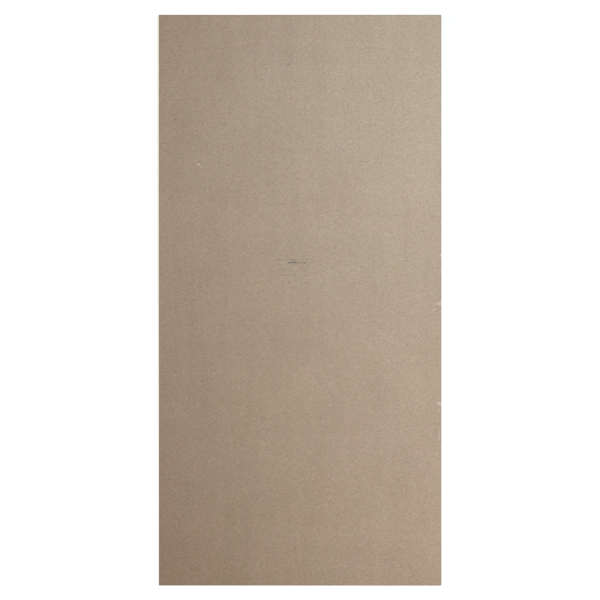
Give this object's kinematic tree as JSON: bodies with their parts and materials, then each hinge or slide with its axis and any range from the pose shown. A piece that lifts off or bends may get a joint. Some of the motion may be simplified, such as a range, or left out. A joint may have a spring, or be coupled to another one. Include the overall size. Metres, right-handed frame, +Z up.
{
  "type": "particle board sheet",
  "caption": "Flat rectangular sheet of pressed wood particle board with square trimmed edges and small edge chips, stock for shelving, cabinets and floor underlay.",
  "frame": {"origin": "middle of the underside, which lies on the floor", "axes": "+X across the sheet's width, +Y along its length, +Z up through its thickness to the face that the picture shows"},
  "size_m": [1.22, 2.465, 0.016],
  "materials": {
    "particle_board": "matte"
  },
  "bodies": {
    "root": {"particle_board_sheet": "particle_board"}
  },
  "joints": []
}
